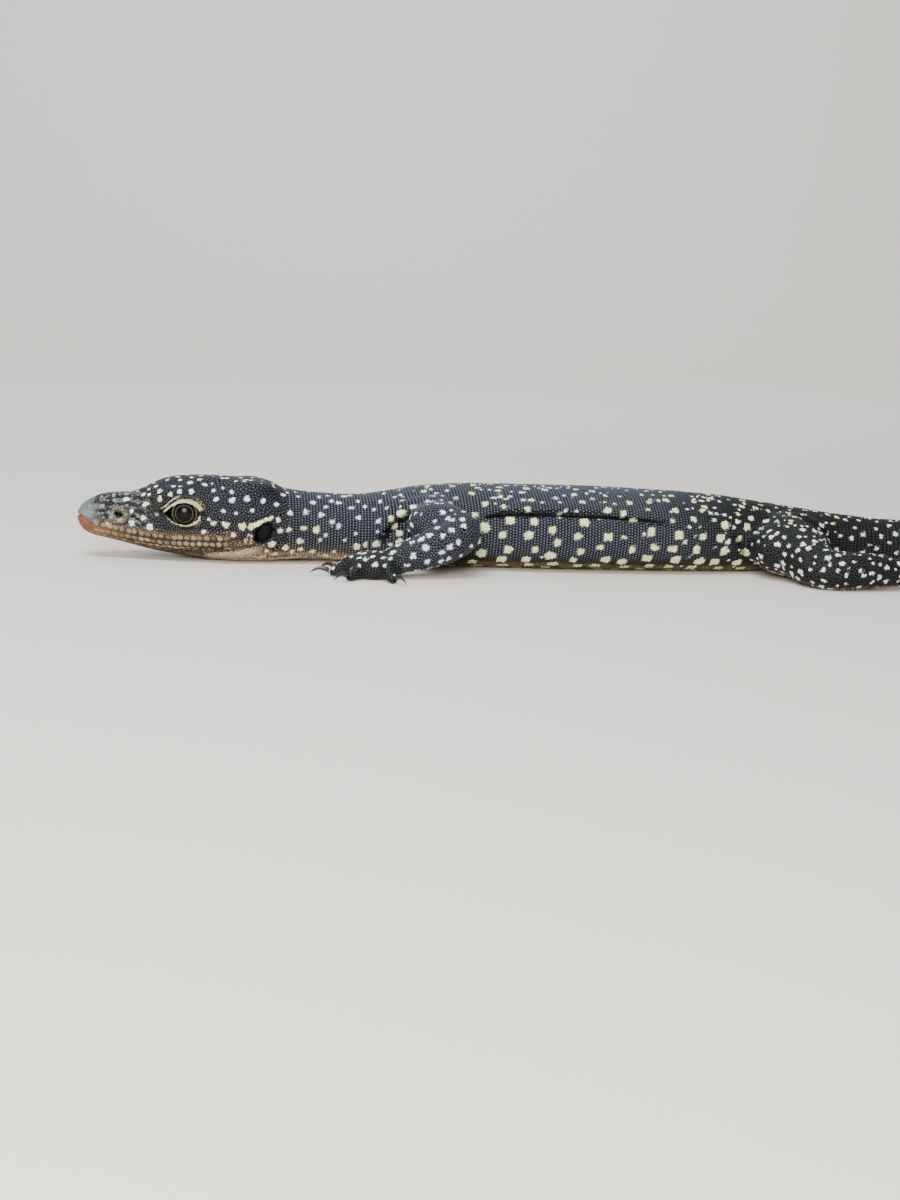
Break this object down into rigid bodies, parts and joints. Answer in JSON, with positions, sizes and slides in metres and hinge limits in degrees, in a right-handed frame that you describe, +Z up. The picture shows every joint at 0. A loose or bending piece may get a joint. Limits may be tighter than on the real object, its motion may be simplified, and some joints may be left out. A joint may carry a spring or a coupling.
{
  "type": "mangrove monitor lizard model",
  "caption": "Life-size still model of a young mangrove monitor lying flat on its belly, legs spread to the sides and tail laid out behind.",
  "frame": {"origin": "middle of the whole outline seen from above, on the floor that the lizard lies on", "axes": "+X from the snout towards the tail, +Z up, -Y on the animal's left side"},
  "size_m": [0.319, 0.0702, 0.0141],
  "materials": {
    "scaled_skin": "satin",
    "claw_horn": "semi-gloss",
    "eye": "wet gloss",
    "eardrum": "satin"
  },
  "bodies": {
    "root": {"head": "scaled_skin", "neck": "scaled_skin", "torso": "scaled_skin", "tail_1": "scaled_skin", "tail_2": "scaled_skin", "tail_3": "scaled_skin", "tail_4": "scaled_skin", "tail_5": "scaled_skin", "eye_left": "eye", "eardrum_left": "eardrum", "upper_arm_left": "scaled_skin", "forearm_left": "scaled_skin", "hand_left": "scaled_skin", "thigh_left": "scaled_skin", "shank_left": "scaled_skin", "foot_left": "scaled_skin", "claw_hand_1_left": "claw_horn", "claw_hand_2_left": "claw_horn", "claw_hand_3_left": "claw_horn", "claw_hand_4_left": "claw_horn", "claw_hand_5_left": "claw_horn", "claw_foot_1_left": "claw_horn", "claw_foot_2_left": "claw_horn", "claw_foot_3_left": "claw_horn", "claw_foot_4_left": "claw_horn", "claw_foot_5_left": "claw_horn", "eye_right": "eye", "eardrum_right": "eardrum", "upper_arm_right": "scaled_skin", "forearm_right": "scaled_skin", "hand_right": "scaled_skin", "thigh_right": "scaled_skin", "shank_right": "scaled_skin", "foot_right": "scaled_skin", "claw_hand_1_right": "claw_horn", "claw_hand_2_right": "claw_horn", "claw_hand_3_right": "claw_horn", "claw_hand_4_right": "claw_horn", "claw_hand_5_right": "claw_horn", "claw_foot_1_right": "claw_horn", "claw_foot_2_right": "claw_horn", "claw_foot_3_right": "claw_horn", "claw_foot_4_right": "claw_horn", "claw_foot_5_right": "claw_horn"}
  },
  "joints": []
}
